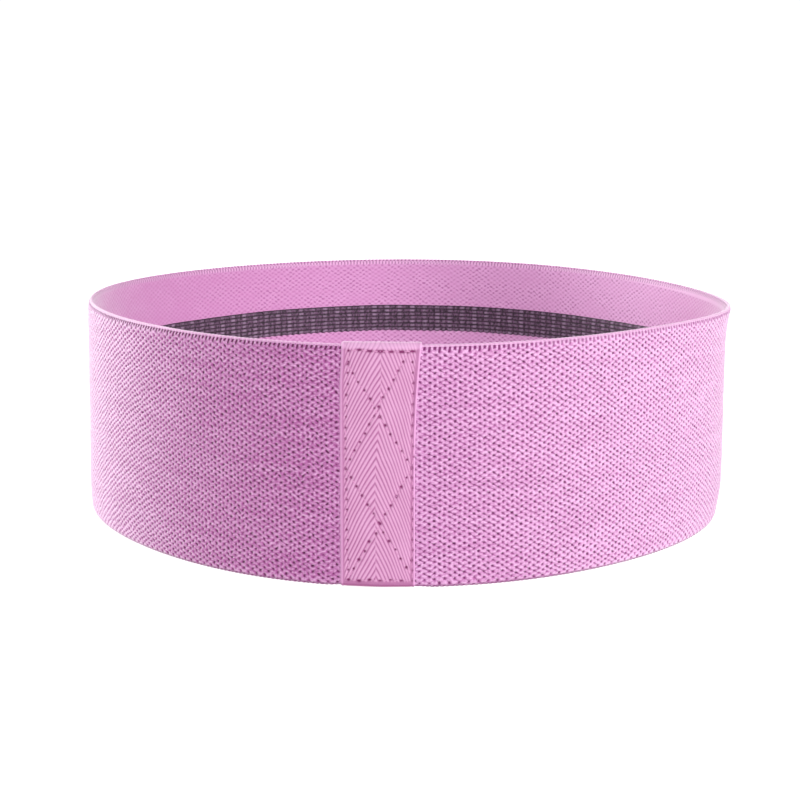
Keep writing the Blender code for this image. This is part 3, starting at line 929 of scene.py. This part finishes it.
# ---- the stitching ----
def stitch_holes(corners, closed, seed):
    """Needle holes along a line of stitching, a little uneven, as (across, height) rows."""
    rng = np.random.default_rng(seed)
    ends = corners + corners[:1] if closed else corners
    holes = []
    for start, end in zip(ends, ends[1:]):
        start, end = np.array(start), np.array(end)
        length = np.linalg.norm(end - start)
        count = round(length / STITCH)
        side = np.array([start[1] - end[1], end[0] - start[0]]) / length
        for i in range(count):
            bow = math.sin(math.pi * i / count)
            offset = side * (rng.normal(0, 0.00012) + 0.0003 * bow * rng.uniform(-1, 1))
            holes.append(start + (end - start) * i / count + (offset if i else 0))
    if not closed:
        holes.append(np.array(ends[-1]))
    return np.array(holes)


LINES = (
    ("box", BOX, True, 201),
    ("first_zigzag", FIRST_ZIGZAG, False, 202),
    ("second_zigzag", SECOND_ZIGZAG, False, 203),
)
HOLES = {name: stitch_holes(corners, closed, seed) for name, corners, closed, seed in LINES}


def stitch_pairs(name, closed):
    holes = HOLES[name]
    pairs = list(zip(holes, holes[1:]))
    if closed:
        pairs.append((holes[-1], holes[0]))
    return pairs


INNER_PANEL = (LAP_STEP + WEB) * (1 - SQUEEZE) + TAPE_PROUD


def seam_point(across, inset, z):
    """A point at the seam, with no lap: across runs from the middle of the tape."""
    across, inset, z = np.broadcast_arrays(across, inset, z)
    angle = SEAM + across / float(plan_radius(SEAM))
    radius = plan_radius(angle) - inset
    return np.stack([radius * np.cos(angle), radius * np.sin(angle) - CENTRE_Y, z], axis=-1)


def stitched_line(line, closed, on_outside, material):
    """Lockstitch on one face of the tape: a short twisted thread from each needle hole to the next."""
    side = "needle" if on_outside else "bobbin"
    base = -TAPE_PROUD if on_outside else INNER_PANEL
    outward = -1.0 if on_outside else 1.0
    turns = np.linspace(0, TAU, 9)[:-1]
    steps = np.linspace(0.0, 1.0, 8)
    bars, uvs = [], []
    for start, end in stitch_pairs(line, closed):
        length = float(np.linalg.norm(end - start))
        along = (end - start) / length
        sideways = np.array([-along[1], along[0]])
        arch = np.sin(math.pi * steps)
        lift = -THREAD_SINK + THREAD_ARCH * arch ** 0.6
        thick = THREAD / 2 * (0.75 + 0.25 * arch ** 0.5)
        centre = start[None, :] + (end - start)[None, :] * (0.24 + 0.52 * steps[:, None])
        place = centre[:, None, :] + (thick[:, None] * np.cos(turns)[None, :])[..., None] * sideways
        depth = lift[:, None] + thick[:, None] * np.sin(turns)[None, :] * 0.85
        bar = seam_point(place[..., 0], base + outward * depth, place[..., 1])
        bars.append(bar if on_outside else bar[:, ::-1])
        around = np.broadcast_to(turns[None, :] / TAU, bar.shape[:2])
        distance = np.broadcast_to(length * steps[:, None], bar.shape[:2])
        uvs.append(np.stack([around, distance], axis=-1))
    name = f"seam_{line}_{side}_thread"
    piece = joined_loops(name + "_stitches", bars, material, uvs)
    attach(piece, "seam_side")
    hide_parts(name)
    return piece


# ---- the seam tape ----
def tape_edges(z):
    """Left and right edges of the tape at a height."""
    left = TAPE_LEFT + 0.0006 * smooth(z, 0.066, 0.080)
    right = TAPE_RIGHT + TAPE_FLARE * np.clip((z - 0.040) / 0.040, 0.0, 1.1) ** 2
    return left, right


def distance_to_stitches(across, height):
    """Distance from each place to the nearest line of stitching, and to the nearest needle hole."""
    to_line = np.full(across.shape, 1.0)
    to_hole = np.full(across.shape, 1.0)
    rng = np.random.default_rng(204)
    for line, _, closed, _ in LINES:
        for start, end in stitch_pairs(line, closed):
            run = end - start
            open_by = rng.uniform(*HOLE_OPEN)
            if line == "box" and abs(run[1]) > abs(run[0]):
                open_by = open_by * SIDE_HOLES
            near = (np.abs(across - start[0]) < 0.006) & (np.abs(height - start[1]) < 0.006)
            if not near.any():
                continue
            dx, dz = across[near] - start[0], height[near] - start[1]
            share = np.clip((dx * run[0] + dz * run[1]) / (run @ run), 0, 1)
            away = np.hypot(dx - share * run[0], dz - share * run[1])
            drawn = 1.0
            if max(start[1], end[1]) < EDGE_ROWS[0]:
                drawn = EDGE_ROWS_DRAWN[0]
            elif min(start[1], end[1]) > EDGE_ROWS[1]:
                drawn = EDGE_ROWS_DRAWN[1]
            to_line[near] = np.minimum(to_line[near], away)
            to_hole[near] = np.minimum(to_hole[near], np.hypot(dx / drawn, dz) / open_by)
    return to_line, to_hole


def tape_loop(inset_out, inset_in, bottom, top, corners, counts):
    """A loop round the lapped ends in section: up the outside, over the top, down the inside and back."""
    up, over = counts
    corner, crown = corners
    turns = np.linspace(0, math.pi, over + 1)[:-1]
    middle = (inset_out + inset_in) / 2
    half = (inset_in - inset_out) / 2
    outside_z = np.linspace(bottom + corner, top - crown, up + 1)[:-1]
    outside = np.stack([np.full(up, inset_out), outside_z], axis=1)
    fold_top = np.stack([middle - half * np.cos(turns), top - crown + crown * np.sin(turns)], axis=1)
    inside_z = np.linspace(top - crown, bottom + corner, up + 1)[:-1]
    inside = np.stack([np.full(up, inset_in), inside_z], axis=1)
    fold_bottom = np.stack([middle + half * np.cos(turns), bottom + corner - corner * np.sin(turns)], axis=1)
    return np.concatenate([outside, fold_top, inside, fold_bottom])


def tape_relief(across, z, path, left, right, outside):
    """Relief of the tape's outer side, and the numbers that its material reads."""
    apex = 0.0008 - 0.0018 * smooth(z, 0.072, 0.036)
    on_left = across < apex
    slope = np.where(on_left, TWILL_SLOPE[0], TWILL_SLOPE[1])
    pitch = np.where(on_left, TWILL_PITCH[0], TWILL_PITCH[1])
    wander = 0.00025 * noise(across / 0.004, path / 0.008, 301)
    run = np.abs(across - apex)
    run = run + TWILL_CROWD * run * run + slope * path + wander
    ridge = (0.5 + 0.5 * np.cos(TAU * run / pitch)) ** 0.8
    ridge = ridge * (1 - 0.25 * smooth(ridge, 0.85, 1.0))
    to_left, to_right = across - left, right - across
    border = 0.75 * smooth(to_left, TAPE_BORDER, TAPE_BORDER * 0.7)
    border = border + smooth(to_right, TAPE_RIM * 1.2, TAPE_RIM * 0.8)
    hem = bell(to_left - TAPE_BORDER * 1.4, 0.0004) + bell(to_right - TAPE_RIM * 2.2, 0.0006)
    inside_borders = smooth(to_left, TAPE_BORDER, TAPE_BORDER * 1.9)
    inside_borders = inside_borders * smooth(to_right, TAPE_RIM * 2, TAPE_RIM * 3.2)
    inside_borders = inside_borders * smooth(z, 0.0022, 0.0030)
    ridge = ridge * inside_borders + TAPE_PLAIN * (1 - inside_borders) * (1 - border) + 0.5 * border
    rounding = smooth(np.minimum(to_left, to_right), 0.00045, -0.0001)
    to_line, to_hole = distance_to_stitches(across, z)
    pressed = bell(to_line, 0.00045) * outside
    hole = np.clip(1.7 * bell(to_hole, 0.00042), 0.0, 1.0) * outside
    relief = TWILL_DEPTH * ridge - HEM_DEPTH * hem - LINE_DEPTH * pressed
    relief = relief - HOLE_DEPTH * hole - EDGE_DROP * rounding
    soft = 0.00008 * noise(across / 0.007, path / 0.010, 302)
    # Painted contact shadow: the foot of the tape darkened like the needle holes.
    hole = np.maximum(hole, 0.55 * smooth(z, TAPE_BOTTOM + 0.0015, TAPE_BOTTOM + 0.0010))
    return relief + soft - TWILL_DEPTH / 2, ridge, border, hole


def seam_tape(material):
    """The folded tape as one closed sleeve: relief outside, a plain lining against the webbing."""
    shares = np.linspace(0.0, 1.0, 118)
    loop = tape_loop(-TAPE_PROUD, INNER_PANEL, TAPE_BOTTOM, TAPE_TOP, (0.0012, 0.0026), (275, 22))
    middle = (INNER_PANEL - TAPE_PROUD) / 2
    share, inset = np.meshgrid(shares, loop[:, 0], indexing="ij")
    z = np.broadcast_to(loop[:, 1], share.shape)
    left, right = tape_edges(z)
    across = left + (right - left) * share
    on_outside = smooth(inset, middle + 0.001, middle - 0.001)
    along = np.where(inset < middle + 0.0005, z, 2 * TAPE_TOP - z)
    relief, ridge, border, hole = tape_relief(across, z, along, left, right, on_outside)
    turn = np.roll(loop, -1, 0) - np.roll(loop, 1, 0)
    turn = turn / np.linalg.norm(turn, axis=1, keepdims=True)
    push_inset, push_z = -turn[:, 1], turn[:, 0]
    outer = seam_point(across, inset + push_inset * relief, z + push_z * relief)
    lined = [-1, (len(shares) - 1) // 2, 0]
    lining_inset = inset[lined] - push_inset * TAPE_THICK
    lining_z = z[lined] - push_z * TAPE_THICK
    lining_across = across[lined]
    lining = seam_point(lining_across, lining_inset, lining_z)
    points = np.concatenate([outer, lining])
    uv_outer = np.stack([across, along], axis=-1)
    uv = np.concatenate([uv_outer, np.stack([lining_across, along[lined]], axis=-1)])
    normals = surface_normals(points, True)
    piece = swept_piece("seam_tape_sleeve", points, uv, normals, material, round_stations=True)
    blank = np.zeros(lining.shape[:2])
    for name, value in (("ridge", ridge), ("border", border), ("hole", hole)):
        add_value(piece, name, np.concatenate([value, blank]))
    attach(piece, "seam_side")
    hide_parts("seam_tape")
    return piece


# ---- studio ----
def add_camera():
    data = bpy.data.cameras.new("camera")
    data.lens = CAMERA_LENS
    data.sensor_width = 36.0
    camera = bpy.data.objects.new("camera", data)
    x = CAMERA_DISTANCE * math.cos(CAMERA_AZIMUTH) + CAMERA_SHIFT
    y = CAMERA_DISTANCE * math.sin(CAMERA_AZIMUTH) - CENTRE_Y
    camera.location = (x, y, WEB_TOP + CAMERA_RISE)
    turn = CAMERA_AZIMUTH + math.radians(90) + CAMERA_TURN
    camera.rotation_euler = (math.radians(90) - CAMERA_TILT, 0.0, turn)
    bpy.context.scene.collection.objects.link(camera)
    bpy.context.scene.camera = camera


def add_softbox(name, azimuth, elevation, distance, size, power, colour=(1.0, 1.0, 1.0)):
    """A square area light aimed at the middle of the band; azimuth 0 is the seam's side, 90 is +X."""
    data = bpy.data.lights.new(name, "AREA")
    data.size = size
    data.energy = power
    data.color = colour
    light = bpy.data.objects.new(name, data)
    turn, rise = math.radians(azimuth), math.radians(elevation)
    out = Vector((math.sin(turn) * math.cos(rise), -math.cos(turn) * math.cos(rise), math.sin(rise)))
    target = Vector((0.0, 0.0, 0.04))
    light.location = target + out * distance
    light.rotation_euler = (-out).to_track_quat("-Z", "Y").to_euler()
    bpy.context.scene.collection.objects.link(light)


def add_world():
    """White ahead and behind, dark to the sides and above."""
    world = bpy.data.worlds.new("studio")
    world.use_nodes = True
    tree = world.node_tree
    place = tree.nodes.new("ShaderNodeTexCoord")
    parts = tree.nodes.new("ShaderNodeSeparateXYZ")
    tree.links.new(place.outputs["Generated"], parts.inputs["Vector"])
    total = tree.nodes.new("ShaderNodeMath")
    for index, (low, high, strength) in enumerate(((0.2, 0.9, WORLD_BACK), (-0.1, -0.95, WORLD_FRONT))):
        depth = tree.nodes.new("ShaderNodeMapRange")
        depth.interpolation_type = "SMOOTHSTEP"
        for key, value in (("From Min", low), ("From Max", high), ("To Min", 0.0), ("To Max", strength)):
            depth.inputs[key].default_value = value
        tree.links.new(parts.outputs["Y"], depth.inputs["Value"])
        tree.links.new(depth.outputs["Result"], total.inputs[index])
    background = tree.nodes["Background"]
    background.inputs["Color"].default_value = (1.0, 1.0, 1.0, 1.0)
    tree.links.new(total.outputs["Value"], background.inputs["Strength"])
    bpy.context.scene.world = world


def studio_piece(name, points, faces):
    """A part of the studio with a material that glows white: the object, its nodes and its shader."""
    mesh = bpy.data.meshes.new(name)
    mesh.from_pydata(points, [], faces)
    material = bpy.data.materials.new(name)
    material.use_nodes = True
    mesh.materials.append(material)
    shader = material.node_tree.nodes["Principled BSDF"]
    shader.inputs["Emission Color"].default_value = (1.0, 1.0, 1.0, 1.0)
    piece = bpy.data.objects.new(name, mesh)
    bpy.context.scene.collection.objects.link(piece)
    return piece, material.node_tree, shader


def studio_ring(z):
    """Corners of the round floor, or of the wall round it, at a height."""
    around = [TAU * i / STUDIO_SIDES for i in range(STUDIO_SIDES)]
    return [(FLOOR_RADIUS * math.cos(a), FLOOR_RADIUS * math.sin(a), z) for a in around]


def add_floor():
    """A white floor that glows a little more with distance, so that no horizon shows."""
    floor, tree, shader = studio_piece("studio_floor", studio_ring(0.0), [list(range(STUDIO_SIDES))])
    place = tree.nodes.new("ShaderNodeTexCoord")
    away = tree.nodes.new("ShaderNodeVectorMath")
    away.operation = "LENGTH"
    glow = tree.nodes.new("ShaderNodeMapRange")
    for key, value in (("From Min", 0.2), ("From Max", 0.8), ("To Min", FLOOR_GLOW), ("To Max", 1.1)):
        glow.inputs[key].default_value = value
    shader.inputs["Base Color"].default_value = (FLOOR_WHITE, FLOOR_WHITE, FLOOR_WHITE, 1.0)
    shader.inputs["Roughness"].default_value = 0.9
    shader.inputs["Specular IOR Level"].default_value = 0.1
    tree.links.new(place.outputs["Object"], away.inputs[0])
    tree.links.new(away.outputs["Value"], glow.inputs["Value"])
    tree.links.new(glow.outputs["Result"], shader.inputs["Emission Strength"])


def add_backdrop():
    """A pale wall round the floor. It lights nothing, so the soft lights alone shape the band."""
    count = STUDIO_SIDES
    points = studio_ring(0.0) + studio_ring(BACKDROP_HEIGHT)
    faces = [(i, (i + 1) % count, count + (i + 1) % count, count + i) for i in range(count)]
    backdrop, _, shader = studio_piece("studio_backdrop", points, faces)
    shader.inputs["Base Color"].default_value = (0.0, 0.0, 0.0, 1.0)
    shader.inputs["Emission Strength"].default_value = 1.0
    backdrop.visible_diffuse = False
    backdrop.visible_glossy = False
    backdrop.visible_transmission = False
    backdrop.visible_shadow = False


def add_studio():
    add_world()
    add_floor()
    add_backdrop()
    add_softbox("key", 68, 30, 1.6, 1.0, 19)
    add_softbox("left_edge", -118, 20, 1.6, 1.0, 27)
    add_softbox("top", 0, 85, 1.6, 1.4, 3.5)
    bpy.context.scene.view_settings.view_transform = "Standard"


def main():
    add_camera()
    add_studio()
    cloth_pieces("outer_cloth", outer_cloth_rings(), outer_cloth_material())
    cloth_pieces("inner_cloth", inner_cloth_rings(), inner_cloth_material())
    selvedge("top_selvedge", True, selvedge_material("top_roll", ROLL_PINK))
    selvedge("bottom_selvedge", False, selvedge_material("bottom_roll", PALE_PINK))
    grip = grip_material()
    grip_strip("upper_grip_strip", grip)
    grip_strip("lower_grip_strip", grip)
    core = rubber_threads(latex_material())
    stretches(core)
    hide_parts(*[f"{zone}_rubber_core" for zone in CAD_ZONES])
    seam_tape(tape_material())
    thread = thread_material()
    for line, _, closed, _ in LINES:
        stitched_line(line, closed, True, thread)
        stitched_line(line, closed, False, thread)


main()
